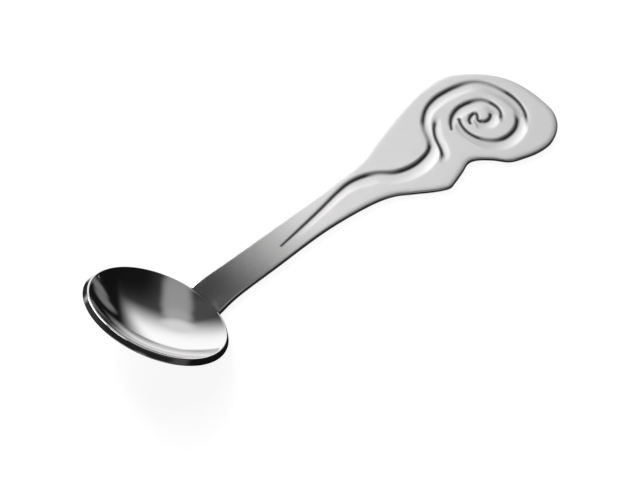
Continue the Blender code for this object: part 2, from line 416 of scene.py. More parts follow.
@dataclass(frozen=True, kw_only=True)
class Satin(Metal):
    """Metal that is polished at the ladle's root and satin from there on, with painted shade in its
    grooves.

    Attributes:
        satin: roughness where it is satin.
        flank: roughness of the plate's edges.
        fade: where the polish starts to give way to satin and where it is gone, in mm from the root.
        speck: how far the two reach into each other, speck by speck, in mm.
        grain: size of the satin's grain in mm.
        grain_depth: height of that grain in mm.
        painted_shade_colour: colour of the painted shade that darkens the grooves in place of their shade.
        painted_shade_share: how much of that painted shade the deepest groove takes.
    """

    satin: float
    flank: float
    fade: tuple[float, float]
    speck: float
    grain: float
    grain_depth: float
    painted_shade_colour: str
    painted_shade_share: float

    def material(self, root: Vector) -> bpy.types.Material:
        """Build the material: a polished and a satin finish of one metal, which give way to each other.

        Args:
            root: the drawing's origin in metres.

        Returns:
            The material.
        """
        material, place = self.start()
        tree = material.node_tree
        colour = self.add_painted_shade(tree, self.add_tone(tree, place))
        layers = []
        for face in (self.polish, self.satin):
            feed = {
                "Metallic": 1.0,
                "Base Color": colour,
                "Roughness": self.add_roughness(tree, place, face),
            }
            layers.append(add_node(tree, "ShaderNodeBsdfPrincipled", feed))
        polished, satin = layers
        tree.links.new(self.add_grain(tree, place), satin.inputs["Normal"])
        share = self.add_share(tree, place, root)
        mixed = add_node(
            tree, "ShaderNodeMixShader", {0: share, 1: polished.outputs[0], 2: satin.outputs[0]}
        )
        add_node(tree, "ShaderNodeOutputMaterial", {"Surface": mixed.outputs[0]})
        return material

    def add_share(
        self, tree: bpy.types.NodeTree, place: bpy.types.NodeSocket, root: Vector
    ) -> bpy.types.NodeSocket:
        """Let the satin take over along the stem.

        The two finishes reach into each other in specks. These are finer than the picture holds, so that
        the change shows as one soft run.

        Args:
            tree: the material's tree.
            place: object coordinates.
            root: the drawing's origin in metres.

        Returns:
            The satin's share.
        """
        along = add_node(tree, "ShaderNodeSeparateXYZ", {0: place}).outputs["X"]
        noise = add_node(tree, "ShaderNodeTexWhiteNoise", {"Vector": place}).outputs["Value"]
        shift = add_node(
            tree,
            "ShaderNodeMapRange",
            {"Value": noise, "To Min": -self.speck * MM, "To Max": self.speck * MM},
        )
        reached = add_node(tree, "ShaderNodeMath", {0: along, 1: shift.outputs["Result"]})
        start, end = [root.x + reach * MM for reach in self.fade]
        share = add_node(
            tree,
            "ShaderNodeMapRange",
            {"Value": reached.outputs[0], "From Min": start, "From Max": end},
            interpolation_type="SMOOTHSTEP",
        )
        return share.outputs["Result"]

    def add_painted_shade(self, tree: bpy.types.NodeTree, tone: bpy.types.NodeSocket) -> bpy.types.NodeSocket:
        """Lay the dark film into the recesses.

        Args:
            tree: the material's tree.
            tone: colour of the metal.

        Returns:
            The colour with the painted shade.
        """
        # Painted shade: the grooves are darkened in the colour itself, to stand for their shade.
        recess = add_node(tree, "ShaderNodeAttribute", attribute_name="recess")
        groove_shade = add_node(
            tree,
            "ShaderNodeMapRange",
            {"Value": recess.outputs["Fac"], "To Max": self.painted_shade_share},
            interpolation_type="SMOOTHSTEP",
        )
        feed = {0: groove_shade.outputs["Result"], 6: tone, 7: linear(self.painted_shade_colour)}
        return add_node(tree, "ShaderNodeMix", feed, data_type="RGBA").outputs[2]

    def add_roughness(
        self, tree: bpy.types.NodeTree, place: bpy.types.NodeSocket, face: float
    ) -> bpy.types.NodeSocket:
        """Set a finish's roughness, which is another at the plate's edges.

        Args:
            tree: the material's tree.
            place: object coordinates.
            face: roughness away from the edges.

        Returns:
            The roughness.
        """
        edge = add_node(tree, "ShaderNodeAttribute", attribute_name="edge")
        feed = {"Value": edge.outputs["Fac"], "To Min": face, "To Max": self.flank}
        rough = add_node(tree, "ShaderNodeMapRange", feed)
        return self.add_smears(tree, place, rough.outputs["Result"])

    def add_grain(self, tree: bpy.types.NodeTree, place: bpy.types.NodeSocket) -> bpy.types.NodeSocket:
        """Raise the fine grain of the satin, drawn coarser than it is so that the picture can hold it.

        Args:
            tree: the material's tree.
            place: object coordinates.

        Returns:
            The normal.
        """
        grain = add_node(
            tree, "ShaderNodeTexNoise", {"Vector": place, "Scale": 1 / (self.grain * MM), "Detail": 2.0}
        )
        feed = {"Distance": self.grain_depth * MM, "Height": grain.outputs["Fac"]}
        return add_node(tree, "ShaderNodeBump", feed).outputs["Normal"]


# Polished stainless: shows its surroundings, blurred a little by the buffing wheel.
POLISHED_STEEL = Polish(name="polished stainless steel", colour="#DCDBDB", polish=0.08)
# Satin stainless: an even soft sheen with a grain finer than the eye resolves, bright at the edges, and
# # darkened in the engraving by painted shade.
SATIN_STEEL = Satin(
    name="satin stainless steel",
    colour="#EEEDED",
    polish=0.08,
    satin=0.58,
    flank=0.30,
    fade=(2.5, 44.0),
    speck=4.0,
    grain=0.4,
    grain_depth=0.0015,
    # Painted shade: the near-black colour laid into the engraving's grooves to stand for their shade.
    painted_shade_colour="#0E0D0D",
    painted_shade_share=0.95,
)
# Silver braze: dressed flush and buffed with the bowl, a breath warmer than the steel.
SILVER_BRAZE = Polish(name="silver braze", colour="#DDDBD8", polish=0.08)


@dataclass
class Bowl:
    """The shallow round bowl: a cap of a sphere, cut square to its wall at the lip.

    Attributes:
        mouth: inner width of the lip.
        depth: depth below the lip.
        wall: thickness.
        lip_round: radius of the lip's inner corner.
        outer_round: radius of its outer corner.
        rings: steps along the wall.
        corner_steps: steps round each corner of the lip.
        segments: steps round the bowl.
        spindle: radius of the circle that carries the section round.
        weld: distance within which the section's turned ends are joined.
    """

    mouth: float = 38.2
    depth: float = 5.65
    wall: float = 1.9
    lip_round: float = 0.45
    outer_round: float = 0.2
    rings: int = 44
    corner_steps: int = 8
    segments: int = 168
    spindle: float = 1.0
    weld: float = 0.001

    @property
    def inside(self) -> float:
        """Radius of the inner sphere."""
        return ((self.mouth / 2) ** 2 + self.depth ** 2) / (2 * self.depth)

    @property
    def tilt(self) -> float:
        """Angle of the lip seen from the sphere's centre, which is also how far the bowl is tipped."""
        return math.asin(self.mouth / 2 / self.inside)

    def section(self) -> list[tuple[float, float]]:
        """Draw half the bowl's section about the sphere's centre.

        Returns:
            Radius and height of each point, from the middle of the inside to the middle of the outside.
        """
        outside = self.inside + self.wall
        inner_turn = self.lip_round / (self.inside + self.lip_round)
        outer_turn = self.outer_round / (outside - self.outer_round)
        wall = [index / self.rings for index in range(self.rings + 1)]
        turns = [math.pi / 2 * index / self.corner_steps for index in range(self.corner_steps + 1)]
        polar = [(self.inside, (self.tilt - inner_turn) * share) for share in wall]
        for turn in turns[1:]:
            reach = self.inside + self.lip_round * (1 - math.cos(turn))
            polar.append((reach, self.tilt - inner_turn * (1 - math.sin(turn))))
        for turn in turns[:-1]:
            reach = outside - self.outer_round * (1 - math.sin(turn))
            polar.append((reach, self.tilt - outer_turn * (1 - math.cos(turn))))
        polar.extend((outside, (self.tilt - outer_turn) * share) for share in reversed(wall))
        return [(reach * math.sin(angle), -reach * math.cos(angle)) for reach, angle in polar]

    def turning_tree(self, material: bpy.types.Material) -> bpy.types.NodeTree:
        """Build the tree that turns a section into a bowl and tips it into place.

        Args:
            material: finish of the bowl.

        Returns:
            The tree.
        """
        kinds = {
            "Section": "NodeSocketObject",
            "Spindle": "NodeSocketFloat",
            "Segments": "NodeSocketInt",
            "Weld": "NodeSocketFloat",
            "Tilt": "NodeSocketVector",
            "Place": "NodeSocketVector",
        }
        tree = new_tree("turned bowl", kinds, {"Geometry": "NodeSocketGeometry"})
        sizes = add_node(tree, "NodeGroupInput").outputs
        section = add_node(tree, "GeometryNodeObjectInfo", {"Object": sizes["Section"]})
        spindle = add_node(
            tree,
            "GeometryNodeCurvePrimitiveCircle",
            {"Resolution": sizes["Segments"], "Radius": sizes["Spindle"]},
        )
        turned = add_node(
            tree,
            "GeometryNodeCurveToMesh",
            {"Curve": spindle.outputs["Curve"], "Profile Curve": section.outputs["Geometry"]},
        )
        welded = add_node(
            tree,
            "GeometryNodeMergeByDistance",
            {"Geometry": turned.outputs[0], "Distance": sizes["Weld"]},
        )
        tipped = add_node(
            tree,
            "GeometryNodeTransform",
            {"Geometry": welded.outputs[0], "Rotation": sizes["Tilt"], "Translation": sizes["Place"]},
        )
        close_tree(tree, tipped.outputs[0], material)
        return tree

    def build(self, root: Vector) -> bpy.types.Object:
        """Make the bowl.

        Args:
            root: the drawing's origin in metres.

        Returns:
            The finished piece.
        """
        line = bpy.data.curves.new("bowl section", "CURVE")
        points = self.section()
        spline = line.splines.new("POLY")
        spline.points.add(len(points) - 1)
        for point, (reach, height) in zip(spline.points, points):
            point.co = ((reach - self.spindle) * MM, -height * MM, 0.0, 1.0)
        guide = add_object("bowl_section", line)
        host = add_object("bowl_host", bpy.data.meshes.new("bowl_host"))
        values = {
            "Section": guide,
            "Spindle": self.spindle * MM,
            "Segments": self.segments,
            "Weld": self.weld * MM,
            "Tilt": (0.0, self.tilt, 0.0),
            "Place": root + Vector((0.0, 0.0, self.inside * MM)),
        }
        mesh = grow(host, self.turning_tree(POLISHED_STEEL.material()), values)
        for helper in (guide, host):
            bpy.data.objects.remove(helper)
        face_outwards(mesh)
        piece = add_object("bowl_polished", mesh)
        settle(piece, "bowl")
        return piece


@dataclass(frozen=True)
class GougeMark:
    """One engraved stroke: a steep bank on the left of its run and a wide scoop on the right.

    Attributes:
        name: what the stroke is.
        points: x, y, half width and depth of the groove along it. It runs out to nothing at its ends.
    """

    name: str
    points: tuple[tuple[float, float, float, float], ...]


WAVE_AND_WHORL = GougeMark(
    "wave and whorl",
    (
        (26.0, -0.6, 0.4, 0.0), (34.0, 0.25, 0.65, 0.1), (42.0, 1.2, 0.75, 0.14),
        (50.0, 2.3, 0.85, 0.22), (54.0, 2.45, 0.95, 0.34), (57.9, 1.65, 1.0, 0.48),
        (62.0, -0.4, 1.25, 0.5), (65.8, -3.5, 1.1, 0.55), (70.0, -5.05, 0.95, 0.58),
        (74.0, -5.3, 0.85, 0.55), (78.1, -4.3, 0.9, 0.4), (80.2, -2.3, 1.2, 0.22),
        (82.3, 1.7, 1.25, 0.15), (84.15, 4.1, 1.05, 0.17), (88.1, 6.7, 0.95, 0.28),
        (92.5, 7.65, 1.0, 0.4), (96.0, 7.45, 1.05, 0.44), (99.9, 6.6, 1.1, 0.44),
        (103.9, 4.8, 1.3, 0.38), (106.1, 2.65, 1.3, 0.39), (107.6, -0.4, 1.25, 0.4),
        (108.45, -3.6, 1.12, 0.38), (108.75, -6.5, 0.95, 0.38), (108.4, -9.8, 0.9, 0.34),
        (107.2, -13.1, 0.95, 0.24), (105.3, -15.6, 1.2, 0.1), (103.6, -17.2, 1.5, 0.0),
    ),
)
INNER_STROKE = GougeMark(
    "inner stroke",
    (
        (77.6, -9.4, 1.4, 0.0), (79.2, -8.4, 1.1, 0.13), (80.5, -6.6, 0.9, 0.17),
        (82.5, -2.4, 0.85, 0.14), (84.2, -0.2, 0.85, 0.12), (86.2, 1.5, 1.15, 0.09),
        (87.5, 2.5, 1.5, 0.0),
    ),
)
UPPER_WHORL = GougeMark(
    "upper whorl",
    (
        (87.7, -3.5, 0.5, 0.0), (89.6, -1.35, 0.85, 0.16), (91.65, -0.05, 0.95, 0.28),
        (94.5, 0.7, 1.0, 0.38), (97.4, 0.35, 1.0, 0.42), (100.3, -0.85, 1.2, 0.42),
        (102.2, -2.8, 1.18, 0.38), (102.85, -5.8, 0.9, 0.32), (102.3, -8.35, 0.8, 0.2),
        (100.0, -10.8, 1.3, 0.0),
    ),
)
LOWER_WHORL = GougeMark(
    "lower whorl",
    (
        (91.9, -2.3, 1.0, 0.0), (91.0, -4.1, 0.85, 0.13), (90.4, -6.8, 0.95, 0.15),
        (90.8, -9.8, 1.02, 0.2), (92.25, -12.8, 1.18, 0.34), (94.5, -15.0, 1.12, 0.46),
        (97.5, -15.85, 1.0, 0.48), (101.05, -15.35, 1.0, 0.4), (103.75, -13.5, 1.05, 0.25),
        (105.2, -11.0, 1.5, 0.0),
    ),
)
CORE_CURL = GougeMark(
    "core curl",
    (
        (93.1, -5.55, 0.8, 0.0), (93.8, -4.5, 0.65, 0.2), (95.4, -3.75, 0.75, 0.26),
        (96.55, -3.8, 1.1, 0.22), (96.85, -4.35, 1.0, 0.2), (96.35, -5.2, 0.95, 0.2),
        (95.65, -6.2, 0.8, 0.24), (96.0, -7.2, 1.1, 0.32), (97.3, -8.05, 0.95, 0.36),
        (99.0, -7.65, 0.85, 0.28), (100.1, -6.3, 1.4, 0.0),
    ),
)

# The head's edge, from the stem's left side round the tip to its right side: how far along and across
# from the scroll's centre, as shares of the head's width.
HEAD_EDGE = (
    (-0.900, 0.302), (-0.690, 0.360), (-0.428, 0.428), (-0.113, 0.475), (0.102, 0.446), (0.236, 0.362),
    (0.341, 0.255), (0.420, 0.131), (0.462, -0.034), (0.465, -0.197), (0.444, -0.341), (0.365, -0.454),
    (0.234, -0.520), (0.108, -0.520), (-0.018, -0.483), (-0.115, -0.436), (-0.194, -0.339),
    (-0.278, -0.262), (-0.339, -0.241), (-0.433, -0.270), (-0.535, -0.299), (-0.596, -0.310),
    (-0.677, -0.273), (-0.827, -0.168), (-0.937, -0.092), (-1.076, -0.041),
)


@dataclass
class Handle:
    """The flat plate handle, its rounded edges and its engraved scroll.

    Attributes:
        length: from the root to the tip.
        thickness: of the plate.
        root_width: width where it meets the bowl.
        flare: length over which the root narrows into the stem.
        shoulder: how far the left side stands out at the end of that flare.
        stem_width: width of the stem.
        stem_offset: how far the stem's middle lies left of the bowl's.
        head_width: widest part of the head.
        tip_share: tip from the scroll's centre, as a share of the head's width.
        head_start_share: start of the head from the scroll's centre, as such a share.
        scroll_offset: y of the scroll's centre.
        foot_start: gap between the root and the handle's foot.
        lip_plan: radius of the joint's arc in plan.
        round_width: width of the rounded top edge, at the stem and at the head.
        round_depth: depth of the rounded top edge, at the stem and at the head.
        round_grows: where that rounding starts to grow and where it is full.
        flank_width: width of the edge's own finish.
        back_round: radius of the back's edges.
        dish_radius: radius of the hollow that the root takes over from the bowl.
        dish_length: length over which that hollow fades out.
        bank: reach of a groove's steep bank, and how much each mm of half width adds to it.
        scoop: reach of its scooped bank, and how much each mm of depth adds to it.
        scoop_hollow: how far the scoop's steepest stretch lies towards its outer end.
        core_round: radius of the core.
        groove_shade: reach of the painted shade in the core, and how much each mm of half width adds to it.
        groove_shade_width: half width above which a groove gets less of that painted shade.
        groove_shade_wipe: how sharply the painted shade gives out above that width.
        blend: power whose sums blend strokes that meet.
        bands: mesh spacing, and the distances from a groove between which it is used, from the finest.
        polished_length: length of the polished stem, whose mesh is even so that nothing shows in it.
        polished_gap: distance from a groove that the polished stem's mesh is spaced for.
        back_spacing: mesh spacing on the back.
        edge_step: mesh spacing along the edge.
        top_rows: rows of points across the rounded top edge.
        top_clear: gap between those rows and the points inside them.
        back_rows: rows of points across the back's rounded edge.
        back_clear: gap between those rows and the points inside them.
        row_share: share of its distance from the edge that a row's point keeps to all of the edge.
        guide_step: spacing of the points along a stroke.
        least_width: half width that a stroke keeps at its ends.
        crease: angle in degrees above which two faces meet in a sharp edge.
        head_edge: points of the head's edge.
        marks: strokes of the engraving.
    """

    length: float = 114.1
    thickness: float = 2.0
    root_width: float = 11.0
    flare: float = 7.0
    shoulder: float = 0.35
    stem_width: float = 9.9
    stem_offset: float = 0.35
    head_width: float = 38.1
    tip_share: float = 0.467
    head_start_share: float = 1.215
    scroll_offset: float = -5.6
    foot_start: float = 0.1
    lip_plan: float = 24.0
    round_width: tuple[float, float] = (0.6, 1.7)
    round_depth: tuple[float, float] = (0.28, 0.45)
    round_grows: tuple[float, float] = (25.0, 60.0)
    flank_width: float = 0.5
    back_round: float = 1.1
    dish_radius: float = 35.1
    dish_length: float = 16.0
    bank: tuple[float, float] = (0.45, 0.65)
    scoop: tuple[float, float] = (1.6, 5.0)
    scoop_hollow: float = 2.0
    core_round: float = 0.12
    # Painted shade in the grooves: how far it reaches, and where wide grooves get less of it.
    groove_shade: tuple[float, float] = (0.36, 0.62)
    groove_shade_width: float = 1.05
    groove_shade_wipe: float = 4.0
    blend: float = 3.0
    bands: tuple[tuple[float, float, float], ...] = (
        (0.2, 0.0, 1.9),
        (0.4, 2.0, 5.2),
        (0.8, 5.5, math.inf),
    )
    polished_length: float = 30.0
    polished_gap: float = 3.0
    back_spacing: float = 2.4
    edge_step: float = 0.35
    top_rows: int = 8
    top_clear: float = 0.15
    back_rows: int = 4
    back_clear: float = 0.5
    row_share: float = 0.93
    guide_step: float = 0.12
    least_width: float = 0.02
    crease: float = 60.0
    head_edge: tuple[tuple[float, float], ...] = HEAD_EDGE
    marks: tuple[GougeMark, ...] = (WAVE_AND_WHORL, INNER_STROKE, UPPER_WHORL, LOWER_WHORL, CORE_CURL)

    def at_head(self, along: float, across: float) -> tuple[float, float]:
        """Place a point from the scroll's centre, in shares of the head's width."""
        centre = self.length - self.tip_share * self.head_width
        return centre + along * self.head_width, self.scroll_offset + across * self.head_width

    def at_stem(self, along: float, across: float) -> tuple[float, float]:
        """Place a point of the stem, in shares of its length and width."""
        end = self.at_head(-self.head_start_share, 0.0)[0]
        return along * end, self.stem_offset + across * self.stem_width

    def foot_x(self, y: float) -> float:
        """Find where the foot's arc round the bowl's lip crosses y."""
        return math.sqrt((self.lip_plan + self.foot_start) ** 2 - y ** 2) - self.lip_plan

    def outline(self) -> np.ndarray:
        """Draw the open edge, from the foot's left corner round the head to its right corner.

        Returns:
            x and y of each point.
        """
        half = self.root_width / 2
        foot = self.foot_x(half)
        points = [
            (foot, half),
            (foot + self.flare, self.stem_offset + self.stem_width / 2 + self.shoulder),
            self.at_stem(0.5, 0.5),
            self.at_stem(1.0, 0.5),
            *[self.at_head(along, across) for along, across in self.head_edge],
            self.at_stem(0.8, -0.53),
            self.at_stem(0.4, -0.5),
            (foot + self.flare, self.stem_offset - self.stem_width / 2),
            (foot, -half),
        ]
        return smooth_path(points, self.edge_step)

    def foot(self) -> np.ndarray:
        """Draw the foot's arc, from its right corner to its left, without the corners.

        Returns:
            x and y of each point.
        """
        count = round(self.root_width / self.edge_step)
        rows = [self.root_width * (index / count - 0.5) for index in range(1, count)]
        return np.array([(self.foot_x(y), y) for y in rows])

    def edge_rows(self, edge: np.ndarray, width: float, steps: int) -> np.ndarray:
        """Place rows of points along the inside of an edge, closest together where it curves down most.

        Args:
            edge: the open edge, with the plate on its right.
            width: width of the rounded zone.
            steps: number of rows.

        Returns:
            The points that lie clear of every other stretch of the edge.
        """
        along = np.gradient(edge, axis=0)
        along /= np.linalg.norm(along, axis=1, keepdims=True)
        inward = np.column_stack([along[:, 1], -along[:, 0]])
        rows = []
        for step in range(1, steps + 1):
            reach = width * (1 - math.cos(math.pi / 2 * step / steps))
            row = edge + inward * reach
            rows.append(row[distance_to(row, edge) > self.row_share * reach])
        return np.vstack(rows)

    def lattice(self, edge: np.ndarray, spacing: float) -> np.ndarray:
        """Fill the edge's box with points in staggered rows.

        Args:
            edge: the open edge.
            spacing: distance from each point to the next.

        Returns:
            x and y of each point.
        """
        (low_x, low_y), (high_x, high_y) = edge.min(axis=0), edge.max(axis=0)
        rows = []
        for index, y in enumerate(np.arange(low_y, high_y, spacing * math.sqrt(3) / 2)):
            x = np.arange(low_x + spacing / 2 * (index % 2), high_x, spacing)
            rows.append(np.column_stack([x, np.full(len(x), y)]))
        return np.vstack(rows)

    def sheet(self, loop: np.ndarray, seeds: np.ndarray) -> tuple[np.ndarray, list]:
        """Fill the outline with triangles.

        Args:
            loop: the closed outline.
            seeds: points to use inside it.

        Returns:
            The points, the outline's first, and the triangles.
        """
        corners = [Vector(point) for point in np.vstack([loop, seeds[inside(seeds, loop)]])]
        made = delaunay_2d_cdt(corners, [], [list(range(len(loop)))], 1, 1e-6, True)
        points = np.array([tuple(point) for point in made[0]])
        faces = np.array(made[2])
        middles = points[faces].mean(axis=1)
        return points, [tuple(face) for face in faces[inside(middles, loop)].tolist()]

    def build(self, root: Vector) -> bpy.types.Object:
        """Make the handle.

        Args:
            root: the drawing's origin in metres.

        Returns:
            The finished piece.
        """
        mesh = self.plate(root)
        host = add_object("handle_host", mesh)
        guides = [self.add_guide(mark, root) for mark in self.marks]
        values = {
            "Bank": self.bank[0] * MM,
            "Bank Growth": self.bank[1],
            "Scoop": self.scoop[0] * MM,
            "Scoop Growth": self.scoop[1],
            "Scoop Hollow": self.scoop_hollow,
            "Core Round": self.core_round * MM,
            "Groove Shade": self.groove_shade[0] * MM,
            "Groove Shade Growth": self.groove_shade[1],
            "Groove Shade Width": self.groove_shade_width * MM,
            "Groove Shade Wipe": self.groove_shade_wipe,
            "Top": root.z,
        }
        numbers = tuple(values)
        names = [guide.name for guide in guides]
        values.update(zip(names, guides))
        finish = SATIN_STEEL.material(root)
        engraved = grow(host, self.engraving_tree(names, numbers, finish), values)
        for helper in (host, *guides):
            bpy.data.objects.remove(helper)
        face_outwards(engraved)
        engraved.set_sharp_from_angle(angle=math.radians(self.crease))
        piece = add_object("handle_engraved", engraved)
        settle(piece, "handle")
        return piece

    def plate(self, root: Vector) -> bpy.types.Mesh:
        """Make the plain plate with its rounded edges and its dished root.

        Args:
            root: the drawing's origin in metres.

        Returns:
            The mesh, with attributes that say how far each point belongs to the top face and to the edges.
        """
        edge = self.outline()
        loop = np.vstack([edge, self.foot()])
        top_seeds, back_seeds = self.top_seeds(edge), self.back_seeds(edge)
        top, top_faces = self.sheet(loop, top_seeds)
        back, back_faces = self.sheet(loop, back_seeds)
        inset = distance_to(top, edge)
        start, full = self.round_grows
        growth = ease((top[:, 0] - start) / (full - start))
        width, depth = [np.interp(growth, (0, 1), ends) for ends in (self.round_width, self.round_depth)]
        share = np.clip(1 - inset / width, 0, 1)
        height = -depth * (1 - np.sqrt(1 - share ** 2))
        fade = (1 - ease(top[:, 0] / self.dish_length)) ** 2
        height += fade * top[:, 1] ** 2 / (2 * self.dish_radius)
        back_share = np.clip(1 - distance_to(back, edge) / self.back_round, 0, 1)
        back_height = -self.thickness + self.back_round * (1 - np.sqrt(1 - back_share ** 2))
        points = np.vstack([np.column_stack([top, height]), np.column_stack([back, back_height])])
        faces = list(top_faces)
        faces.extend(tuple(len(top) + corner for corner in reversed(face)) for face in back_faces)
        count = len(loop)
        for index in range(count):
            beside = (index + 1) % count
            faces.append((index, beside, len(top) + beside, len(top) + index))
        mesh = bpy.data.meshes.new("handle_plate")
        mesh.from_pydata((points * MM + np.array(root)).tolist(), [], faces)
        notes = {
            "top_face": np.concatenate([ease(inset / width), np.zeros(len(back))]),
            "edge": np.concatenate([ease(1 - inset / self.flank_width), ease(back_share)]),
        }
        for name, values in notes.items():
            note = mesh.attributes.new(name, "FLOAT", "POINT")
            note.data.foreach_set("value", values.astype(np.float32))
        return mesh

    def top_seeds(self, edge: np.ndarray) -> np.ndarray:
        """Choose the top face's points: rows at the edge, fine at the grooves, coarse elsewhere.

        Args:
            edge: the open edge.

        Returns:
            x and y of each point.
        """
        reach = self.round_width[1]
        chosen = [self.edge_rows(edge, reach, self.top_rows)]
        paths = [smooth_path(list(mark.points), self.bands[0][0])[:, :2] for mark in self.marks]
        strokes = point_tree(np.vstack(paths))
        for spacing, nearest, farthest in self.bands:
            field = self.lattice(edge, spacing)
            gap = np.array([strokes.find((x, y, 0.0))[2] for x, y in field])
            polished = field[:, 0] < self.polished_length
            gap = np.where(polished, np.minimum(gap, self.polished_gap), gap)
            field = field[(gap >= nearest) & (gap < farthest)]
            chosen.append(field[distance_to(field, edge) > reach + self.top_clear])
        return np.vstack(chosen)

    def back_seeds(self, edge: np.ndarray) -> np.ndarray:
        """Choose the back's points: rows at the edge and a wide lattice.

        Args:
            edge: the open edge.

        Returns:
            x and y of each point.
        """
        rows = self.edge_rows(edge, self.back_round, self.back_rows)
        field = self.lattice(edge, self.back_spacing)
        return np.vstack([rows, field[distance_to(field, edge) > self.back_round + self.back_clear]])

    def add_guide(self, mark: GougeMark, root: Vector) -> bpy.types.Object:
        """Lay a stroke out as a line of points, each with its half width, depth and the way to its right.

        Args:
            mark: the stroke.
            root: the drawing's origin in metres.

        Returns:
            The line, which the engraving follows.
        """
        path = smooth_path(list(mark.points), self.guide_step)
        flat = np.column_stack([path[:, :2], np.zeros(len(path))])
        links = [(index, index + 1) for index in range(len(path) - 1)]
        mesh = bpy.data.meshes.new(mark.name)
        mesh.from_pydata((flat * MM + np.array(root)).tolist(), links, [])
        for name, column, least in (("half_width", 2, self.least_width), ("depth", 3, 0.0)):
            values = np.maximum(path[:, column], least) * MM
            note = mesh.attributes.new(name, "FLOAT", "POINT")
            note.data.foreach_set("value", values.astype(np.float32))
        run = np.gradient(path[:, :2], axis=0)
        run /= np.linalg.norm(run, axis=1, keepdims=True)
        right = np.column_stack([run[:, 1], -run[:, 0], np.zeros(len(run))])
        note = mesh.attributes.new("right", "FLOAT_VECTOR", "POINT")
        note.data.foreach_set("vector", right.astype(np.float32).ravel())
        return add_object(mark.name, mesh)

    def gouge_group(self, numbers: tuple[str, ...]) -> bpy.types.NodeTree:
        """Build the group that gives one groove's depth, and the painted shade in its core, at each point.

        Args:
            numbers: names of the sizes that it takes.

        Returns:
            The group.
        """
        kinds = {"Mark": "NodeSocketObject", **{number: "NodeSocketFloat" for number in numbers}}
        tree = new_tree("gouge mark", kinds, {"Depth": "NodeSocketFloat", "Groove Shade": "NodeSocketFloat"})
        sizes = add_node(tree, "NodeGroupInput").outputs
        line = add_node(tree, "GeometryNodeObjectInfo", {"Object": sizes["Mark"]}).outputs["Geometry"]
        here = add_node(tree, "GeometryNodeInputPosition").outputs[0]
        spot = add_node(tree, "ShaderNodeSeparateXYZ", {0: here}).outputs
        flat = add_node(
            tree, "ShaderNodeCombineXYZ", {"X": spot["X"], "Y": spot["Y"], "Z": sizes["Top"]}
        ).outputs[0]
        close = add_node(
            tree,
            "GeometryNodeProximity",
            {"Geometry": line, "Sample Position": flat},
            target_element="EDGES",
        )
        nearest = add_node(
            tree, "GeometryNodeSampleNearest", {"Geometry": line, "Sample Position": flat}
        ).outputs["Index"]
        carried = []
        for name, kind in (("half_width", "FLOAT"), ("depth", "FLOAT"), ("right", "FLOAT_VECTOR")):
            note = add_node(tree, "GeometryNodeInputNamedAttribute", {"Name": name}, data_type=kind)
            feed = {"Geometry": line, "Value": note.outputs["Attribute"], "Index": nearest}
            taken = add_node(tree, "GeometryNodeSampleIndex", feed, data_type=kind)
            carried.append(taken.outputs["Value"])
        offset = add_node(
            tree, "ShaderNodeVectorMath", {0: flat, 1: close.outputs["Position"]}, operation="SUBTRACT"
        )
        aside = add_node(
            tree, "ShaderNodeVectorMath", {0: offset.outputs[0], 1: carried[2]}, operation="DOT_PRODUCT"
        )
        steps = (
            ("side", "DIVIDE", "aside", "gap"),
            ("half side", "MULTIPLY", "side", 0.5),
            ("on scoop", "ADD", "half side", 0.5),
            ("on bank", "SUBTRACT", 1.0, "on scoop"),
            ("bank widening", "MULTIPLY", "width", "Bank Growth"),
            ("bank reach", "ADD", "bank widening", "Bank"),
            ("gap squared", "MULTIPLY", "gap", "gap"),
            ("round squared", "MULTIPLY", "Core Round", "Core Round"),
            ("sum of squares", "ADD", "gap squared", "round squared"),
            ("rounded gap", "POWER", "sum of squares", 0.5),
            ("bank gap", "SUBTRACT", "rounded gap", "Core Round"),
            ("bank share", "DIVIDE", "bank gap", "bank reach"),
            ("bank rest", "SUBTRACT", 1.0, "bank share"),
            ("bank fall", "MULTIPLY", "bank rest", "bank rest"),
            ("scoop widening", "MULTIPLY", "depth at core", "Scoop Growth"),
            ("scoop reach", "ADD", "scoop widening", "Scoop"),
            ("scoop share", "DIVIDE", "gap", "scoop reach"),
            ("scoop run", "POWER", "scoop share", "Scoop Hollow"),
            ("scoop squared", "MULTIPLY", "scoop run", "scoop run"),
            ("twice the run", "MULTIPLY", "scoop run", 2.0),
            ("three less that", "SUBTRACT", 3.0, "twice the run"),
            ("scoop rise", "MULTIPLY", "scoop squared", "three less that"),
            ("scoop fall", "SUBTRACT", 1.0, "scoop rise"),
            ("bank part", "MULTIPLY", "bank fall", "on bank"),
            ("scoop part", "MULTIPLY", "scoop fall", "on scoop"),
            ("fall", "ADD", "bank part", "scoop part"),
            ("depth", "MULTIPLY", "depth at core", "fall"),
            # Painted shade: its share falls off from the core outwards and is less in wide grooves.
            ("shade widening", "MULTIPLY", "width", "Groove Shade Growth"),
            ("shade reach", "ADD", "shade widening", "Groove Shade"),
            ("shade share", "DIVIDE", "gap", "shade reach"),
            ("shade rest", "SUBTRACT", 1.0, "shade share"),
            ("narrowness", "DIVIDE", "Groove Shade Width", "width"),
            ("shade left", "POWER", "narrowness", "Groove Shade Wipe"),
            ("groove_shade", "MULTIPLY", "shade rest", "shade left"),
        )
        held = ("on scoop", "bank rest", "scoop share", "shade rest", "narrowness")
        known = {"width": carried[0], "depth at core": carried[1]}
        known.update({"gap": close.outputs["Distance"], "aside": aside.outputs["Value"]})
        known.update({number: sizes[number] for number in numbers})
        for result, operation, first, second in steps:
            feed = {0: known.get(first, first), 1: known.get(second, second)}
            step = add_node(tree, "ShaderNodeMath", feed, operation=operation, use_clamp=result in held)
            known[result] = step.outputs[0]
        add_node(tree, "NodeGroupOutput", {"Depth": known["depth"], "Groove Shade": known["groove_shade"]})
        return tree

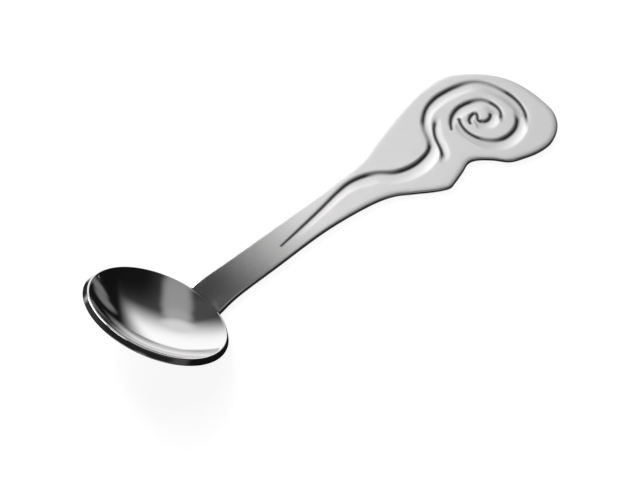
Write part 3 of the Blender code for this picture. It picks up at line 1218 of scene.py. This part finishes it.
    def engraving_tree(
        self, marks: list[str], numbers: tuple[str, ...], material: bpy.types.Material
    ) -> bpy.types.NodeTree:
        """Build the tree that sinks every stroke into the plate and blends those that meet.

        Args:
            marks: names of the strokes, each an input of the tree.
            numbers: names of the sizes that every stroke shares.
            material: finish of the handle.

        Returns:
            The tree.
        """
        kinds = {"Geometry": "NodeSocketGeometry"}
        kinds.update({mark: "NodeSocketObject" for mark in marks})
        kinds.update({number: "NodeSocketFloat" for number in numbers})
        tree = new_tree("engraving", kinds, {"Geometry": "NodeSocketGeometry"})
        sizes = add_node(tree, "NodeGroupInput").outputs
        gouge = self.gouge_group(numbers)
        total, groove_shade = 0.0, 0.0
        for mark in marks:
            one = add_node(tree, "GeometryNodeGroup", node_tree=gouge)
            for key in ("Mark", *numbers):
                tree.links.new(sizes[mark if key == "Mark" else key], one.inputs[key])
            both = {0: groove_shade, 1: one.outputs["Groove Shade"]}
            groove_shade = add_node(tree, "ShaderNodeMath", both, operation="MAXIMUM").outputs[0]
            feed = {0: one.outputs["Depth"], 1: self.blend}
            raised = add_node(tree, "ShaderNodeMath", feed, operation="POWER").outputs[0]
            total = add_node(tree, "ShaderNodeMath", {0: total, 1: raised}).outputs[0]
        feed = {0: total, 1: 1 / self.blend}
        depth = add_node(tree, "ShaderNodeMath", feed, operation="POWER").outputs[0]
        weight = add_node(
            tree, "GeometryNodeInputNamedAttribute", {"Name": "top_face"}, data_type="FLOAT"
        ).outputs["Attribute"]
        sunk, recess = [
            add_node(tree, "ShaderNodeMath", {0: part, 1: weight}, operation="MULTIPLY").outputs[0]
            for part in (depth, groove_shade)
        ]
        # The painted shade is kept on the points, for the material to darken the grooves with.
        noted = add_node(
            tree,
            "GeometryNodeStoreNamedAttribute",
            {"Geometry": sizes["Geometry"], "Name": "recess", "Value": recess},
            data_type="FLOAT",
            domain="POINT",
        )
        down = add_node(tree, "ShaderNodeMath", {0: 0.0, 1: sunk}, operation="SUBTRACT").outputs[0]
        offset = add_node(tree, "ShaderNodeCombineXYZ", {"Z": down}).outputs[0]
        moved = add_node(tree, "GeometryNodeSetPosition", {"Geometry": noted.outputs[0], "Offset": offset})
        close_tree(tree, moved.outputs[0], material)
        return tree


@dataclass
class Seam:
    """The braze between bowl and handle, dressed flush so that one runs on into the other.

    Attributes:
        width: width across the root.
        thickness: of the metal at the root.
        before: how far it feathers onto the bowl.
        after: how far it feathers onto the handle.
        dip: how far it lies under both, so that the two run on over it.
        edge_share: its thickness where it feathers out, as a share.
        crease: angle in degrees above which two faces meet in a sharp edge.
        steps: rows along the handle.
        rows: rows across it.
    """

    width: float = 10.2
    thickness: float = 1.9
    before: float = 0.6
    after: float = 0.5
    dip: float = 0.004
    edge_share: float = 0.05
    crease: float = 40.0
    steps: int = 16
    rows: int = 32

    def build(self, root: Vector, bowl: Bowl, handle: Handle) -> bpy.types.Object:
        """Make the seam.

        Args:
            root: the drawing's origin in metres.
            bowl: the bowl that it joins.
            handle: the handle that it joins.

        Returns:
            The finished piece.
        """
        top, back = [], []
        for across in range(self.rows + 1):
            y = self.width * (across / self.rows - 0.5)
            lip = math.sqrt(handle.lip_plan ** 2 - y ** 2) - handle.lip_plan
            for along in range(self.steps + 1):
                share = along / self.steps
                x = lip - self.before + (self.before + self.after) * share
                rise = (min(x, 0.0) ** 2 + y ** 2) / (2 * bowl.inside)
                bulge = math.sqrt(math.sin(math.pi * share))
                deep = self.thickness * (self.edge_share + (1 - self.edge_share) * bulge)
                top.append((x, y, rise - self.dip))
                back.append((x, y, rise - self.dip - deep))
        points = np.vstack([np.array(top), np.array(back)])
        row = self.steps + 1
        faces = []
        for across in range(self.rows):
            for along in range(self.steps):
                a = across * row + along
                faces.append((a, a + 1, a + row + 1, a + row))
                faces.append(tuple(len(top) + c for c in (a + row, a + row + 1, a + 1, a)))
        border = [(along, 0) for along in range(self.steps)]
        border += [(self.steps, across) for across in range(self.rows)]
        border += [(along, self.rows) for along in range(self.steps, 0, -1)]
        border += [(0, across) for across in range(self.rows, 0, -1)]
        ring = [across * row + along for along, across in border]
        for here, beside in zip(ring, ring[1:] + ring[:1]):
            faces.append((beside, here, len(top) + here, len(top) + beside))
        mesh = bpy.data.meshes.new("seam_dressed")
        mesh.from_pydata((points * MM + np.array(root)).tolist(), [], faces)
        mesh.materials.append(SILVER_BRAZE.material())
        face_outwards(mesh)
        mesh.set_sharp_from_angle(angle=math.radians(self.crease))
        piece = add_object("seam_dressed", mesh)
        settle(piece, "braze_seam")
        return piece


@dataclass(frozen=True)
class Card:
    """One soft-edged bright or dark area of the studio, as the metal sees it.

    Attributes:
        azimuth: degrees from +X towards +Y.
        elevation: degrees above the horizon.
        inner: angle from its middle to where it starts to fade, in degrees.
        outer: angle to where it is gone.
        level: its brightness, where 1 is white.
    """

    azimuth: float
    elevation: float
    inner: float
    outer: float
    level: float

    def axis(self) -> Vector:
        """Direction of its middle."""
        return direction(self.azimuth, self.elevation)


@dataclass
class Studio:
    """A white sweep, soft light from the back left, and the camera.

    Attributes:
        azimuth: where the camera stands, in degrees from +X towards +Y.
        elevation: how high it stands, in degrees above the horizon.
        distance: from the camera to the point it looks at.
        focal: focal length in pixels of the picture.
        sensor: width of the camera's sensor.
        clip: nearest and farthest distance that the camera draws, in metres.
        aim: the point it looks at, from the root.
        floor_size: width of the floor.
        paper: the floor's own colour, under the ladle's shadow.
        paper_lift: brightness that the camera sees on top of it.
        sweep: brightness of the white sweep where no card hangs.
        lamp_azimuth: where the lamp hangs, in degrees from +X towards +Y.
        lamp_elevation: how high it hangs, in degrees above the horizon.
        lamp_distance: from the lamp to the point the camera looks at.
        lamp_size: width of the lamp.
        lamp_power: its power in watts.
        cards: bright and dark areas, each laid over those before it.
    """

    azimuth: float = -133.235
    elevation: float = 53.682
    distance: float = 600.0
    focal: float = 2237.24
    sensor: float = 36.0
    clip: tuple[float, float] = (0.01, 100.0)
    aim: tuple[float, float, float] = (34.915, -6.308, 0.0)
    floor_size: float = 4000.0
    paper: str = "#8C8C8C"
    paper_lift: float = 0.9
    sweep: float = 0.8
    lamp_azimuth: float = 77.0
    lamp_elevation: float = 44.0
    lamp_distance: float = 1500.0
    lamp_size: float = 800.0
    lamp_power: float = 3.0
    cards: tuple[Card, ...] = (
        # The dark side of the room, where the camera stands, and the large areas round the ladle.
        Card(-133.0, 0.0, 70.0, 100.0, 0.08),
        Card(-133.0, -65.0, 35.0, 55.0, 0.01),
        Card(165.0, -15.0, 40.0, 60.0, 0.05),
        Card(180.0, 22.0, 14.0, 32.0, 0.5),
        Card(-112.0, 12.0, 8.0, 22.0, 0.7),
        Card(25.0, 45.0, 36.0, 52.0, 0.06),
        Card(46.0, -15.0, 8.0, 52.0, 1.35),
        Card(84.0, -16.0, 14.0, 26.0, 0.03),
        Card(98.0, -45.0, 14.0, 28.0, 0.03),
        Card(135.0, 48.0, 18.0, 30.0, 0.04),
        Card(40.0, 42.0, 8.0, 16.0, 0.085),
        # The streak down the bowl.
        Card(6.0, 59.0, 2.0, 13.0, 0.38),
        Card(13.0, 55.0, 2.0, 13.0, 0.38),
        Card(19.0, 50.0, 2.0, 13.0, 0.4),
        Card(24.0, 44.0, 2.0, 13.0, 0.4),
        Card(27.0, 38.0, 2.0, 12.0, 0.42),
        Card(31.0, 31.0, 3.0, 11.0, 0.5),
        Card(35.0, 20.0, 2.0, 11.0, 0.9),
        # The dark and the faint areas round it.
        Card(-25.0, 25.0, 14.0, 36.0, 0.01),
        Card(-30.0, -35.0, 50.0, 62.0, 0.008),
        Card(5.0, -12.0, 2.0, 7.0, 0.22),
        Card(13.0, -15.0, 2.0, 7.0, 0.22),
        Card(108.0, 22.0, 14.0, 26.0, 0.05),
        Card(170.0, 74.0, 22.0, 36.0, 0.02),
        Card(-95.0, 50.0, 18.0, 32.0, 0.02),
        Card(-133.0, 40.0, 8.0, 18.0, 0.5),
        # The lamps: one overhead, and a tall one behind the handle.
        Card(75.0, 76.0, 8.0, 14.0, 2.6),
        Card(77.0, 27.0, 7.0, 12.0, 5.3),
        Card(77.0, 40.0, 7.0, 12.0, 5.3),
        Card(77.0, 52.0, 7.0, 12.0, 5.3),
    )

    def add_camera(self, root: Vector) -> None:
        """Set up the camera at the photograph's viewing angle.

        Args:
            root: the drawing's origin in metres.
        """
        back = direction(self.azimuth, self.elevation)
        data = bpy.data.cameras.new("camera")
        data.sensor_width = self.sensor
        data.lens = self.focal / IMAGE_WIDTH * self.sensor
        data.clip_start, data.clip_end = self.clip
        camera = add_object("camera", data)
        camera.location = root + Vector(self.aim) * MM + back * self.distance * MM
        camera.rotation_mode = "QUATERNION"
        camera.rotation_quaternion = back.to_track_quat("Z", "Y")
        bpy.context.scene.camera = camera

    def add_floor(self) -> None:
        """Lay the pale floor. It shows the ladle's shadow, and the metal sees the studio instead of it."""
        half = self.floor_size / 2 * MM
        mesh = bpy.data.meshes.new("floor")
        corners = [(-half, -half, 0.0), (half, -half, 0.0), (half, half, 0.0), (-half, half, 0.0)]
        mesh.from_pydata(corners, [], [(0, 1, 2, 3)])
        # White paper: matt and even, and brighter to the camera than what it throws back on the ladle.
        material = bpy.data.materials.new("white paper")
        material.use_nodes = True
        tree = material.node_tree
        tree.nodes.clear()
        paper = add_node(tree, "ShaderNodeBsdfDiffuse", {"Color": linear(self.paper)})
        lift = add_node(
            tree, "ShaderNodeEmission", {"Color": linear(WHITE), "Strength": self.paper_lift}
        )
        seen = add_node(tree, "ShaderNodeAddShader", {0: paper.outputs[0], 1: lift.outputs[0]})
        ray = add_node(tree, "ShaderNodeLightPath").outputs["Is Camera Ray"]
        mixed = add_node(tree, "ShaderNodeMixShader", {0: ray, 1: paper.outputs[0], 2: seen.outputs[0]})
        add_node(tree, "ShaderNodeOutputMaterial", {"Surface": mixed.outputs[0]})
        mesh.materials.append(material)
        floor = add_object("floor", mesh)
        floor.visible_glossy = False

    def add_world(self) -> None:
        """Surround the ladle: white to the camera, and soft bright and dark areas to the metal."""
        world = bpy.data.worlds.new("studio")
        world.use_nodes = True
        bpy.context.scene.world = world
        tree = world.node_tree
        tree.nodes.clear()
        way = add_node(tree, "ShaderNodeTexCoord").outputs["Generated"]
        level = self.sweep
        for card in self.cards:
            facing = add_node(
                tree, "ShaderNodeVectorMath", {0: way, 1: card.axis()}, operation="DOT_PRODUCT"
            ).outputs["Value"]
            cover = add_node(
                tree,
                "ShaderNodeMapRange",
                {
                    "Value": facing,
                    "From Min": math.cos(math.radians(card.outer)),
                    "From Max": math.cos(math.radians(card.inner)),
                },
                interpolation_type="SMOOTHSTEP",
            ).outputs["Result"]
            level = add_node(
                tree, "ShaderNodeMix", {0: cover, 2: level, 3: card.level}, data_type="FLOAT"
            ).outputs[0]
        seen = add_node(tree, "ShaderNodeBackground", {"Color": linear(WHITE), "Strength": level})
        plain = add_node(tree, "ShaderNodeBackground", {"Color": linear(WHITE), "Strength": 1.0})
        ray = add_node(tree, "ShaderNodeLightPath").outputs["Is Camera Ray"]
        mixed = add_node(tree, "ShaderNodeMixShader", {0: ray, 1: seen.outputs[0], 2: plain.outputs[0]})
        add_node(tree, "ShaderNodeOutputWorld", {"Surface": mixed.outputs[0]})

    def add_lamp(self, root: Vector) -> None:
        """Hang the soft lamp that casts the shadow. The metal sees it as the brightest cards.

        Args:
            root: the drawing's origin in metres.
        """
        data = bpy.data.lights.new("soft lamp", "AREA")
        data.shape = "DISK"
        data.size = self.lamp_size * MM
        data.energy = self.lamp_power
        lamp = add_object("soft_lamp", data)
        away = direction(self.lamp_azimuth, self.lamp_elevation)
        lamp.location = root + (Vector(self.aim) + self.lamp_distance * away) * MM
        lamp.rotation_mode = "QUATERNION"
        lamp.rotation_quaternion = away.to_track_quat("Z", "Y")
        lamp.visible_glossy = False

    def build(self, root: Vector) -> None:
        """Set up the whole studio.

        Args:
            root: the drawing's origin in metres.
        """
        bpy.context.scene.view_settings.view_transform = "Standard"
        self.add_camera(root)
        self.add_floor()
        self.add_world()
        self.add_lamp(root)


def main() -> None:
    """Dress the ladle and set it in the studio."""
    logging.basicConfig(level=logging.INFO)
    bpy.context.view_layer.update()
    root = find_root()
    bowl, handle, seam = Bowl(), Handle(), Seam()
    bowl.build(root)
    handle.build(root)
    seam.build(root, bowl, handle)
    Studio().build(root)


if __name__ == "__main__":
    main()
